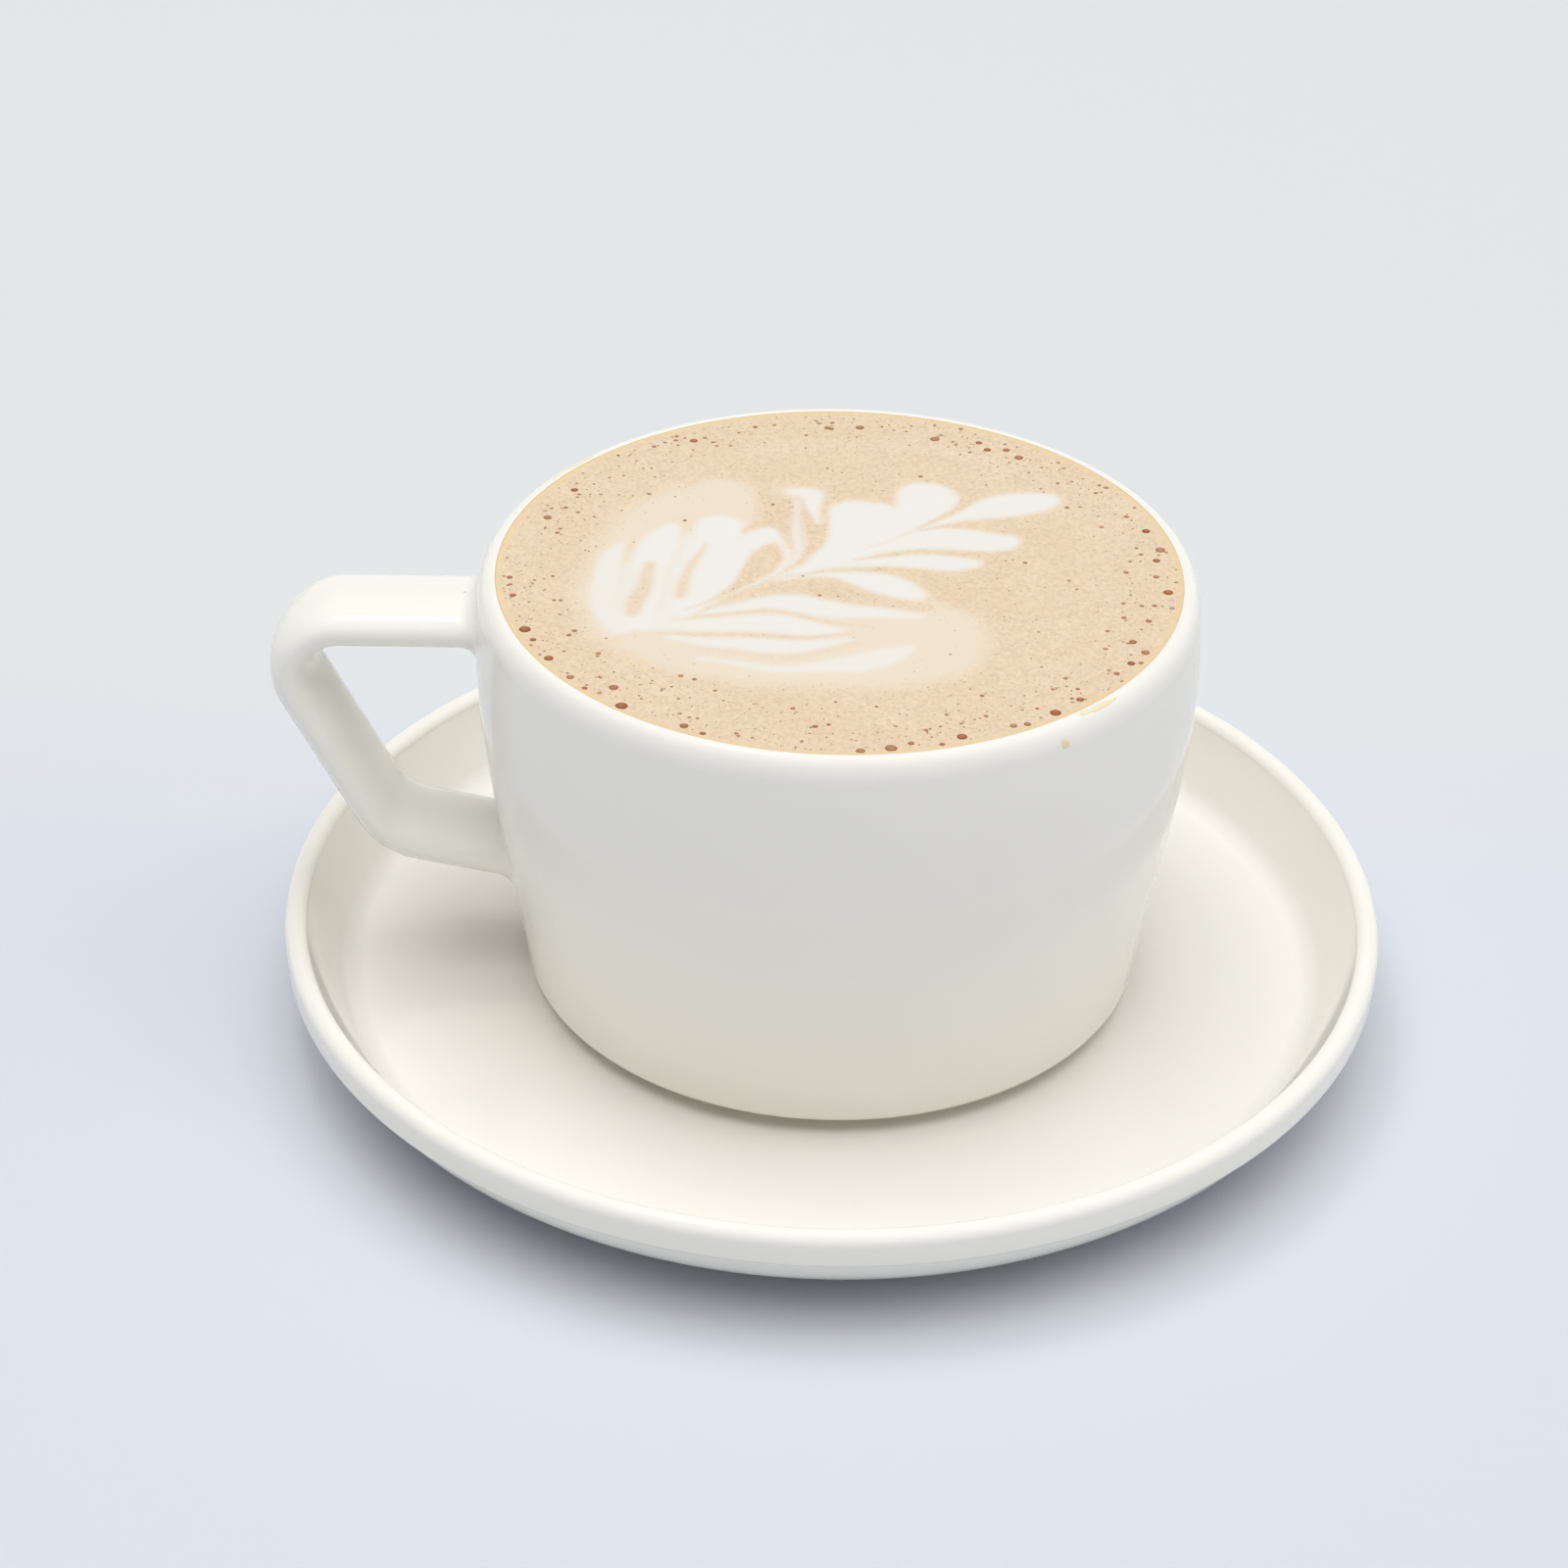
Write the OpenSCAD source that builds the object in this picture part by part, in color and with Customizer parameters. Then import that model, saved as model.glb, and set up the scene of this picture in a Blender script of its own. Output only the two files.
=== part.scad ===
// Latte in a glazed cup with a triangular handle, standing on its saucer.
// The cup and the saucer share one upright axis; the handle points to -X.
// The saucer stands on z = 0.

/* [Saucer] */
// Outer width of the saucer
saucer_d = 150; // [120:1:200]
// Height of the saucer's flat floor above the table
floor_z = 6; // [5:0.5:10]
// Thickness of the saucer's floor
floor_t = 3.8; // [3:0.1:5]
// Height of the saucer's wall above its floor
well_h = 10.2; // [8:0.2:18]
// How far the sloped wall stands in from the outer edge at the floor
wall_in = 8.4; // [7:0.2:14]
// Height of the thick band round the edge
lip_h = 4.8; // [4:0.1:7]
// Width of the thick band at its top
lip_w = 3; // [2.4:0.1:4]
// How far the wall below is set back under the band
lip_step = 1.2; // [1:0.1:2]
// Roundness of the band's lower edge
lip_round = 0.9; // [0.4:0.1:1]
// Roundness of the underside, from the wall to the bottom
belly_r = 12.4; // [10:0.2:16]
// Roundness where the floor turns up into the wall
corner_r = 4; // [2:0.5:6]
// Middle radius of the saucer's foot ring
saucer_foot_r = 46; // [35:0.5:52]
// Width of the saucer's foot ring
saucer_foot_w = 4; // [3:0.5:6]

/* [Cup] */
// Widest width of the cup's body
cup_d = 95.6; // [80:0.2:120]
// Height of the cup from the saucer's floor to the top of the rim
cup_h = 61; // [50:0.2:80]
// Radius lost from the widest place down to the base edge
base_in = 6; // [3:0.2:10]
// Radius lost from the widest place up to the mouth
mouth_in = 0.6; // [0.2:0.1:2]
// Height of the widest place below the rim
belly_drop = 11; // [8:0.5:16]
// Outward lean of the wall just above the base, rise over run
base_lean = 0.13; // [0:0.01:0.3]
// Thickness of the cup's wall
cup_wall = 3; // [2.6:0.1:4]
// Thickness of the cup's bottom
cup_bottom = 4.6; // [3.5:0.1:7]
// Roundness of the base edge
base_r = 1.6; // [1:0.1:3]
// Roundness inside, where the bottom meets the wall
well_r = 9; // [5:0.5:14]
// Gap between the saucer's floor and the cup's base edge
cup_lift = 2; // [1.4:0.1:3]
// Middle radius of the cup's foot ring
cup_foot_r = 36; // [28:0.5:38]
// Width of the cup's foot ring
cup_foot_w = 3.4; // [2.5:0.1:5]

/* [Handle] */
// Width of the bar across the handle's plane
bar_w = 15; // [11:0.5:18]
// Thickness of the bar in the handle's plane
bar_t = 6.2; // [5:0.1:8]
// How full the bar's section is: 2 is an ellipse, more is squarer
bar_full = 2.2; // [2:0.1:4]
// Drop of the top bar's middle line below the rim, at the wall
top_drop = 8.2; // [6.5:0.1:14]
// Fall of the top bar from the wall to the outer corner
top_fall = 0.6; // [0:0.1:3]
// Reach of the outer corner beyond the widest place of the cup
reach = 29.1; // [24:0.1:36]
// Reach of the lower corner beyond the widest place of the cup
heel_reach = 12.5; // [9:0.1:20]
// Height of the lower corner above the saucer's floor
heel_h = 19.8; // [14:0.1:26]
// Fall of the lower bar from its corner to the wall
heel_fall = 2.9; // [0:0.1:6]
// Bend radius at the outer corner
top_bend = 7.2; // [5.5:0.1:12]
// Bend radius at the lower corner
heel_bend = 9; // [5.5:0.1:12]
// Radius of the fillet where the bar meets the wall
root_r = 2; // [1:0.1:3]

/* [Latte] */
// Depth of the drink's surface below the top of the rim
brim = 0.2; // [0.1:0.1:20]
// Gap kept between the drink and the cup
fill_gap = 0.1; // [0.05:0.05:0.3]

/* [Hidden] */
$fn = 96;
steps = 16;
sides = 28;

saucer_r = saucer_d / 2;
lip_top = floor_z + well_h;
lip_low = lip_top - lip_h;
lip_edge = lip_w / 2;
under_z = floor_z - floor_t;
under_r = saucer_r - lip_step;

cup_r = cup_d / 2;
rim_z = floor_z + cup_h;
base_z = floor_z + cup_lift;
belly_z = rim_z - belly_drop;
tip_r = cup_wall / 2;
tip_z = rim_z - tip_r;
well_z = base_z + cup_bottom;
fill_z = rim_z - brim;

// ---- helpers -------------------------------------------------------------

// Point at an angle on a circle about c
function on_circle(c, r, a) = c + r * [cos(a), sin(a)];

// Arc about c from angle a0 to a1, ends included
function arc(c, r, a0, a1, n = 8) =
  [for (i = [0:n]) on_circle(c, r, a0 + (a1 - a0) * i / n)];

// Unit direction at an angle
function dir(a) = [cos(a), sin(a)];

// Angle of the way from p to q
function heading(p, q) = atan2(q.y - p.y, q.x - p.x);

// ---- saucer --------------------------------------------------------------

// Inner wall: from the floor's edge up to the inside of the lip
function wall_foot() = [saucer_r - wall_in, floor_z];
function wall_top() = [saucer_r - lip_w, lip_top - lip_edge];
function wall_angle() = heading(wall_foot(), wall_top());

// Fillet between the flat floor and the sloped wall
function corner_c() =
  wall_foot() + [-corner_r * tan(wall_angle() / 2), corner_r];

// Underside: a quarter round that runs in below the lip
function belly_c() = [under_r - belly_r, under_z + belly_r];
function belly_a() = -asin(max(0, (belly_c().y - lip_low) / belly_r));

function saucer_outline() = concat(
  [[0, under_z]],
  arc(belly_c(), belly_r, -90, belly_a(), 14),
  arc([saucer_r - lip_round, lip_low + lip_round], lip_round, -90, 0, 4),
  arc([saucer_r - lip_edge, lip_top - lip_edge], lip_edge, 0, 180, 12),
  arc(corner_c(), corner_r, wall_angle() - 90, -90, 6),
  [[0, floor_z]]
);

module saucer() {
  color("ivory") {
    rotate_extrude() polygon(saucer_outline());
    foot_ring(saucer_foot_r, saucer_foot_w, 0, under_z + 1);
  }
}

// A low ring with rounded feet, which the piece stands on
module foot_ring(r, w, z0, z1) {
  round_r = w / 6;
  rotate_extrude() polygon(concat(
    arc([r - w / 2 + round_r, z0 + round_r], round_r, 180, 270, 3),
    arc([r + w / 2 - round_r, z0 + round_r], round_r, 270, 360, 3),
    [[r + w / 2, z1], [r - w / 2, z1]]
  ));
}

// ---- cup -----------------------------------------------------------------

// Outer radius of the cup's body at a height: it leaves the base with a
// slight lean, is upright at the widest place and draws in to the mouth
function lower_r(t) =
  let (h = belly_z - base_z)
    (cup_r - base_in) * (2 * t * t * t - 3 * t * t + 1)
    + base_lean * h * (t * t * t - 2 * t * t + t)
    + cup_r * (3 * t * t - 2 * t * t * t);
function upper_r(t) = cup_r - mouth_in * t * t;
function body_r(z) = z < belly_z
  ? lower_r(max(0, (z - base_z) / (belly_z - base_z)))
  : upper_r((z - belly_z) / (tip_z - belly_z));

function mouth_r() = body_r(tip_z);
function well_c() = [body_r(well_z + well_r) - cup_wall - well_r, well_z + well_r];

// Outer side from the base edge up to the rim's round
function outer_side() =
  let (z0 = base_z + base_r)
    concat(
      arc([body_r(z0) - base_r, z0], base_r, -90, 0, 6),
      [for (i = [1:steps]) let (z = z0 + (tip_z - z0) * i / steps) [body_r(z), z]]
    );

// Inner side down to the bottom, drawn in by a gap and cut at a height
function inner_side(top, gap = 0) =
  let (z0 = well_z + well_r)
    concat(
      [for (i = [steps:-1:1]) let (z = z0 + (top - z0) * i / steps)
        [body_r(z) - cup_wall - gap, z]],
      arc(well_c(), well_r - gap, 0, -90, 8)
    );

module cup_body() {
  rotate_extrude() polygon(concat(
    [[0, base_z]],
    outer_side(),
    arc([mouth_r() - tip_r, tip_z], tip_r, 15, 165, 10),
    inner_side(tip_z),
    [[0, well_z]]
  ));
  foot_ring(cup_foot_r, cup_foot_w, floor_z, base_z + 1);
}

// The handle is drawn flat: x is the distance out from the cup's axis and
// y the height. Its middle line runs out, down and back with two bends.
function h_top() = [cup_r, rim_z - top_drop];
function h_corner() = [cup_r + reach, rim_z - top_drop - top_fall];
function h_heel() = [cup_r + heel_reach, floor_z + heel_h];
function h_low() = [body_r(h_heel().y - heel_fall), h_heel().y - heel_fall];

// Stations along a bend at corner q, on the way p - q - s, each with its
// place and heading; the bend turns clockwise
function bend(p, q, s, r, n) =
  let (
    a = heading(p, q),
    b = heading(q, s),
    start = q - dir(a) * r * tan((a - b) / 2),
    centre = start + r * dir(a - 90)
  )
    [for (i = [0:n]) let (c = a + (b - a) * i / n) [centre + r * dir(c + 90), c]];

// Point j of the bar's section, an ellipse with fuller corners: how far it
// lies across the handle's plane and how far from the middle line, both
// grown outwards by g
function power(v, e) = sign(v) * pow(abs(v), e);
function section(j, g = 0) =
  let (a = 360 * j / sides)
    [bar_w / 2 * power(cos(a), 2 / bar_full) + g * cos(a),
     bar_t / 2 * power(sin(a), 2 / bar_full) + g * sin(a)];

// Ring of the bar at a place and heading
function ring(at, a) =
  [for (j = [0:sides - 1]) let (k = section(j), p = at + k.y * dir(a + 90))
    [-p.x, k.x, p.y]];

// Ring that follows the cup's wall at a distance d from it, where the bar
// through point at with heading a meets the wall; it swells to a fillet
function wall_ring(at, a, d, g) =
  [for (j = [0:sides - 1])
    let (
      k = section(j, g),
      base = at + k.y * dir(a + 90),
      z1 = base.y + slide(base, a, k.x, d, base.y) * sin(a),
      run = slide(base, a, k.x, d, z1)
    )
      [-base.x - run * cos(a), k.x, base.y + run * sin(a)]];
function slide(base, a, y, d, z) =
  (sqrt(pow(body_r(z) + d, 2) - y * y) - base.x) / cos(a);

// Rings through the fillet, from inside the wall to the plain bar
function fillet_rings(at, a) = concat(
  [wall_ring(at, a, -cup_wall / 2, root_r)],
  [for (i = [0:4]) let (f = 22.5 * i)
    wall_ring(at, a, root_r * (1 - cos(f)), root_r * (1 - sin(f)))]
);
function reversed(list) = [for (i = [len(list) - 1:-1:0]) list[i]];

module handle() {
  p = h_top();
  q = h_corner();
  s = h_heel();
  e = h_low();
  way = concat(bend(p, q, s, top_bend, 10), bend(q, s, e, heel_bend, 6));
  rings = concat(
    fillet_rings(p, heading(p, q)),
    [for (station = way) ring(station[0], station[1])],
    reversed(fillet_rings(e, heading(s, e)))
  );
  tube(rings);
}

// Closed skin over rings with the same number of points, capped at both ends
module tube(rings) {
  n = len(rings[0]);
  last = len(rings) - 1;
  middle = [centre_of(rings[0]), centre_of(rings[last])];
  points = concat([for (r = rings) for (v = r) v], middle);
  faces = concat(
    [for (i = [0:last - 1]) for (j = [0:n - 1])
      let (u = i * n + j, v = i * n + (j + 1) % n)
        each [[u, v, v + n], [u, v + n, u + n]]],
    [for (j = [0:n - 1]) [(j + 1) % n, j, len(points) - 2]],
    [for (j = [0:n - 1]) [last * n + j, last * n + (j + 1) % n, len(points) - 1]]
  );
  polyhedron(points, faces);
}
function centre_of(r) = [for (v = r) 1] * r / len(r);

module cup() {
  color("ivory") {
    cup_body();
    handle();
  }
}

// ---- latte ---------------------------------------------------------------

// The drink fills the cup to just under the top of the rim
function rim_inside(z) =
  mouth_r() - tip_r - sqrt(max(0, tip_r * tip_r - pow(max(0, z - tip_z), 2)));

module latte() {
  top = min(fill_z, tip_z);
  color("burlywood")
    rotate_extrude() polygon(concat(
      [[0, fill_z]],
      fill_z > tip_z ? arc_up(tip_z, fill_z) : [],
      inner_side(top, fill_gap),
      [[0, well_z + fill_gap]]
    ));
}

// Follows the inside of the rim's round from a height up to the surface
function arc_up(z0, z1) =
  [for (i = [4:-1:1]) let (z = z0 + (z1 - z0) * i / 4)
    [rim_inside(z) - fill_gap, z]];

saucer();
cup();
latte();
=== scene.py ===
"""A latte with poured leaf art, brim-full in its glazed cup, on its saucer."""
import math

import bpy
import numpy as np
from mathutils import Matrix, Vector


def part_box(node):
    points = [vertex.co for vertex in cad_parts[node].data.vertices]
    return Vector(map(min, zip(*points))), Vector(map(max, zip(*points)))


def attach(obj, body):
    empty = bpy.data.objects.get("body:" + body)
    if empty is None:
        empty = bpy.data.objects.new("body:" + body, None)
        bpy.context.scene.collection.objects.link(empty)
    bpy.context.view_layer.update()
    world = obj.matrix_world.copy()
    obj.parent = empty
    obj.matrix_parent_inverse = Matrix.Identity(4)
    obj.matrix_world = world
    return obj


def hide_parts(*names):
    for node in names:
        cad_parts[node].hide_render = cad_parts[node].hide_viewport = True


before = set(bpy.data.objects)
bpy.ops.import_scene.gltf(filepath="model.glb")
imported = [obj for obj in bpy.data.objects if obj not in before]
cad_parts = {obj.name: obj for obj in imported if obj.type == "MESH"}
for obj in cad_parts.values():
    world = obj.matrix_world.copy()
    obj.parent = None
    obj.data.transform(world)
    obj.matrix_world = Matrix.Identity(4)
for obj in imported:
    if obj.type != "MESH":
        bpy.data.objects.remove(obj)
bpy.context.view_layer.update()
scene = bpy.context.scene

MM = 0.001

# ---- sizes, in millimetres -------------------------------------------------
# The overall sizes come from the parts in model.glb, the rest are the potter's own.
# An _R is a radius, a _Z a height over the table, a _W a width.

saucer_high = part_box("saucer")[1] / MM
cup_low, cup_high = (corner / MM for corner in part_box("cup"))

# the saucer: floor, sloped wall, thick lip, rounded belly, foot ring
SAUCER_R = saucer_high.x
LIP_TOP = saucer_high.z
FLOOR_Z = cup_low.z
FLOOR_T = 3.8
WALL_IN = 8.4
LIP_H = 4.8
LIP_W = 3.0
LIP_STEP = 1.2
LIP_ROUND = 0.9
BELLY_R = 12.4
CORNER_R = 4.0

# radii where flat clay has a row of points: under the saucer, on its floor, in the cup
UNDER_ROWS = (0, 15, 30)
FLOOR_ROWS = (55, 35, 15, 0)
CUP_ROW = 20

# the cup's body
RIM_Z = cup_high.z
CUP_R = cup_high.x
BASE_IN = 6.0
MOUTH_IN = 0.6
BELLY_DROP = 11.0
BASE_LEAN = 0.13
CUP_WALL = 3.0
CUP_BOTTOM = 4.6
BASE_R = 1.6
WELL_R = 9.0
CUP_LIFT = 2.0

# foot rings: radius of the middle and width, the clay's flare into them,
# and how far up from the stand they are wiped bare
SAUCER_FOOT = (46.0, 4.0)
CUP_FOOT = (36.0, 3.4)
FOOT_FLARE = 0.8
FOOT_EASE = 0.2
BARE_H = 0.5

# the handle: its bar, the drop to its top, and its two bends
BAR_W = 15.0
BAR_T = 6.2
BAR_FULL = 2.2
TOP_DROP = 8.2
TOP_FALL = 0.6
REACH = 29.07
HEEL_REACH = 12.5
HEEL_H = 19.8
HEEL_FALL = 2.9
TOP_BEND = 7.2
HEEL_BEND = 9.0
ROOT_R = 2.0
ROOT_FLARE = 0.5
ROOT_SUNK = (1.2, 0.1)

# the drink: its level, how high and wide it climbs at the wall, and
# how far its edge and side lie inside the glaze, so that no slit shows
FILL_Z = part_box("latte")[1].z / MM
MENISCUS = 0.12
MENISCUS_W = 1.6
EDGE_IN = 0.05
SIDE_IN = 0.1

# worked out from the sizes above
UNDER_Z = FLOOR_Z - FLOOR_T
BASE_Z = FLOOR_Z + CUP_LIFT
BELLY_Z = RIM_Z - BELLY_DROP
TIP_R = CUP_WALL / 2
TIP_Z = RIM_Z - TIP_R
WELL_Z = BASE_Z + CUP_BOTTOM
MOUTH_R = CUP_R - MOUTH_IN

# the rim: how far down the glaze ran off its outside, and how far in that set the crest
RUN_OFF = 3.6
CREST_IN = 0.35
CREST_R = MOUTH_R - TIP_R - CREST_IN

# how finely the round shapes are cut
STEPS_ROUND = 240
RIM_TURNS = 20
SIDES = 56
DISC_RINGS = 152

# ---- small helpers -----------------------------------------------------------


def direction(angle):
    """A step of length 1 at an angle."""
    return np.array([math.cos(angle), math.sin(angle)])


def heading(p, q):
    """The angle of the way from p to q."""
    return math.atan2(q[1] - p[1], q[0] - p[0])


def arc(centre, radius, start, end, count):
    """Points on a circle about centre, with the angles in degrees."""
    return [
        (centre[0] + radius * math.cos(a), centre[1] + radius * math.sin(a))
        for a in np.radians(np.linspace(start, end, count))
    ]


def smoothstep(value):
    """Eases from 0 to 1, level at both ends."""
    value = np.clip(value, 0, 1)
    return value * value * (3 - 2 * value)


def linear(hex_colour):
    """An sRGB hex colour as the linear colour that Blender takes."""
    srgb = [int(hex_colour[i : i + 2], 16) / 255 for i in (0, 2, 4)]
    return [c / 12.92 if c <= 0.04045 else ((c + 0.055) / 1.055) ** 2.4 for c in srgb] + [1]


def add(tree, kind, inputs=None, **settings):
    """Adds a node: settings are its properties, inputs give each socket a value or a link."""
    made = tree.nodes.new(kind)
    for key, value in settings.items():
        setattr(made, key, value)
    for key, value in (inputs or {}).items():
        if isinstance(value, bpy.types.NodeSocket):
            tree.links.new(value, made.inputs[key])
        else:
            made.inputs[key].default_value = value
    return made


def new_piece(name, mesh, node=None):
    """Links a finished mesh as a piece of the object, which rides on the root body."""
    piece = bpy.data.objects.new(name, mesh)
    scene.collection.objects.link(piece)
    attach(piece, "root")
    if node:
        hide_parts(node)
    return piece


def mesh_from(name, points, faces, *materials):
    """A smooth mesh from points in millimetres."""
    mesh = bpy.data.meshes.new(name)
    mesh.from_pydata((np.asarray(points, float) * MM).tolist(), [], faces)
    for material in materials:
        mesh.materials.append(material)
    mesh.shade_smooth()
    return mesh


def face_outwards(mesh):
    """Turns every face round if the closed mesh is inside out."""
    mesh.calc_loop_triangles()
    corners = np.zeros(len(mesh.loop_triangles) * 3, np.int32)
    mesh.loop_triangles.foreach_get("vertices", corners)
    points = np.zeros(len(mesh.vertices) * 3)
    mesh.vertices.foreach_get("co", points)
    a, b, c = points.reshape(-1, 3)[corners.reshape(-1, 3)].transpose(1, 0, 2)
    if np.einsum("ij,ij->i", a, np.cross(b, c)).sum() < 0:
        mesh.flip_normals()


# ---- materials ---------------------------------------------------------------


def new_material(name):
    """An empty node material, and its tree."""
    material = bpy.data.materials.new(name)
    material.use_nodes = True
    tree = material.node_tree
    tree.nodes.clear()
    return material, tree


def finish_material(tree, shader):
    """Gives the shader to the material's output."""
    add(tree, "ShaderNodeOutputMaterial", {"Surface": shader.outputs[0]})


def make_glaze():
    """Stoneware dipped in a cream-white glaze and fired: a glassy coat over a warm
    white body, with a slow waviness from the dip, faint orange peel and a few iron specks."""
    material, tree = new_material("cream_glaze_dipped_stoneware")
    place = add(tree, "ShaderNodeTexCoord").outputs["Object"]
    cloud = add(tree, "ShaderNodeTexNoise", {"Vector": place, "Scale": 1 / (30 * MM), "Detail": 2.0})
    body = add(
        tree,
        "ShaderNodeMix",
        {0: cloud.outputs[0], 6: linear("F3F0E7"), 7: linear("F7F4EC")},
        data_type="RGBA",
    )
    # iron specks up to 0.5 mm across, where one of the 12 mm cells holds one at the surface
    cells = add(tree, "ShaderNodeTexVoronoi", {"Vector": place, "Scale": 1 / (12 * MM)})
    near = add(
        tree,
        "ShaderNodeMapRange",
        {0: cells.outputs["Distance"], 1: 0.010, 2: 0.022, 3: 1.0, 4: 0.0},
    )
    chosen = add(tree, "ShaderNodeSeparateColor", {0: cells.outputs["Color"]})
    few = add(tree, "ShaderNodeMath", {0: chosen.outputs[0], 1: 0.72}, operation="GREATER_THAN")
    speck = add(
        tree, "ShaderNodeMath", {0: near.outputs[0], 1: few.outputs[0]}, operation="MULTIPLY"
    )
    faint = add(tree, "ShaderNodeMath", {0: speck.outputs[0], 1: 0.45}, operation="MULTIPLY")
    colour = add(
        tree,
        "ShaderNodeMix",
        {0: faint.outputs[0], 6: body.outputs[2], 7: linear("8A7A66")},
        data_type="RGBA",
    )
    wave = add(tree, "ShaderNodeTexNoise", {"Vector": place, "Scale": 1 / (16 * MM), "Detail": 1.0})
    peel = add(tree, "ShaderNodeTexNoise", {"Vector": place, "Scale": 1 / (1.8 * MM), "Detail": 1.0})
    slow = add(
        tree, "ShaderNodeBump", {"Height": wave.outputs[0], "Strength": 1.0, "Distance": 0.03 * MM}
    )
    relief = add(
        tree,
        "ShaderNodeBump",
        {
            "Height": peel.outputs[0],
            "Strength": 1.0,
            "Distance": 0.003 * MM,
            "Normal": slow.outputs[0],
        },
    )
    shader = add(
        tree,
        "ShaderNodeBsdfPrincipled",
        {
            "Base Color": colour.outputs[2],
            "Roughness": 0.07,
            "IOR": 1.48,
            "Normal": relief.outputs[0],
        },
    )
    finish_material(tree, shader)
    return material


def make_bare_clay():
    """Stoneware wiped free of glaze where it stood in the kiln: dry, sandy and matt."""
    material, tree = new_material("bare_fired_stoneware")
    place = add(tree, "ShaderNodeTexCoord").outputs["Object"]
    sand = add(tree, "ShaderNodeTexNoise", {"Vector": place, "Scale": 1 / (0.5 * MM), "Detail": 3.0})
    colour = add(
        tree,
        "ShaderNodeMix",
        {0: sand.outputs[0], 6: linear("D6CBB8"), 7: linear("EAE2D3")},
        data_type="RGBA",
    )
    grit = add(tree, "ShaderNodeBump", {"Height": sand.outputs[0], "Distance": 0.05 * MM})
    shader = add(
        tree,
        "ShaderNodeBsdfPrincipled",
        {"Base Color": colour.outputs[2], "Roughness": 0.85, "Normal": grit.outputs[0]},
    )
    finish_material(tree, shader)
    return material


def make_latte():
    """Steamed milk poured through crema: satin microfoam, tan where the coffee is in it
    and white where the milk lies on top, mottled by bubbles too fine to count."""
    material, tree = new_material("milk_microfoam_and_crema")
    place = add(tree, "ShaderNodeTexCoord").outputs["Object"]
    pour = add(tree, "ShaderNodeAttribute", attribute_name="pour")
    parts = add(tree, "ShaderNodeSeparateColor", {0: pour.outputs["Color"]})
    white, halo, cream = parts.outputs[0], parts.outputs[1], parts.outputs[2]

    # the crema's slow drift between a deeper and a paler tan, and its fine mottle
    drift = add(tree, "ShaderNodeTexNoise", {"Vector": place, "Scale": 1 / (9 * MM), "Detail": 3.0})
    tan = add(
        tree,
        "ShaderNodeMix",
        {0: drift.outputs[0], 6: linear("E3CDAF"), 7: linear("EAD7BB")},
        data_type="RGBA",
    )
    grain = add(
        tree, "ShaderNodeTexNoise", {"Vector": place, "Scale": 1 / (0.55 * MM), "Detail": 2.0}
    )
    spots = add(
        tree, "ShaderNodeMapRange", {0: grain.outputs[0], 1: 0.38, 2: 0.7, 3: 0.0, 4: 0.38}
    )
    mottled = add(
        tree,
        "ShaderNodeMix",
        {0: spots.outputs[0], 6: tan.outputs[2], 7: linear("C8A988")},
        data_type="RGBA",
    )
    # pinholes up to 0.3 mm wide, left by bubbles that have already burst
    cells = add(tree, "ShaderNodeTexVoronoi", {"Vector": place, "Scale": 1 / (1.35 * MM)})
    kind = add(tree, "ShaderNodeSeparateColor", {0: cells.outputs["Color"]})
    size = add(tree, "ShaderNodeMapRange", {0: kind.outputs[0], 1: 0.3, 2: 1.0, 3: 0.02, 4: 0.22})
    hole = add(
        tree,
        "ShaderNodeMapRange",
        {0: cells.outputs["Distance"], 1: 0.0, 2: size.outputs[0], 3: 1.0, 4: 0.0},
    )
    depth = add(
        tree, "ShaderNodeMath", {0: hole.outputs[0], 1: kind.outputs[1]}, operation="MULTIPLY"
    )
    pitted = add(
        tree,
        "ShaderNodeMix",
        {0: depth.outputs[0], 6: mottled.outputs[2], 7: linear("A87B54")},
        data_type="RGBA",
    )
    edged = add(
        tree,
        "ShaderNodeMix",
        {0: cream, 6: pitted.outputs[2], 7: linear("E8CD9F")},
        data_type="RGBA",
    )
    paler = add(
        tree, "ShaderNodeMix", {0: halo, 6: edged.outputs[2], 7: linear("E7DAC6")}, data_type="RGBA"
    )
    colour = add(
        tree,
        "ShaderNodeMix",
        {0: white, 6: paler.outputs[2], 7: linear("E8E5DE")},
        data_type="RGBA",
    )
    froth = add(
        tree, "ShaderNodeTexNoise", {"Vector": place, "Scale": 1 / (0.3 * MM), "Detail": 2.0}
    )
    relief = add(
        tree, "ShaderNodeBump", {"Height": froth.outputs[0], "Strength": 0.5, "Distance": 0.03 * MM}
    )
    shader = add(
        tree,
        "ShaderNodeBsdfPrincipled",
        {
            "Base Color": colour.outputs[2],
            "Roughness": 0.5,
            "IOR": 1.34,
            "Subsurface Weight": 0.15,
            "Subsurface Radius": (1.0, 0.7, 0.45),
            "Subsurface Scale": 0.8 * MM,
            "Normal": relief.outputs[0],
        },
    )
    finish_material(tree, shader)
    return material


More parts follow.
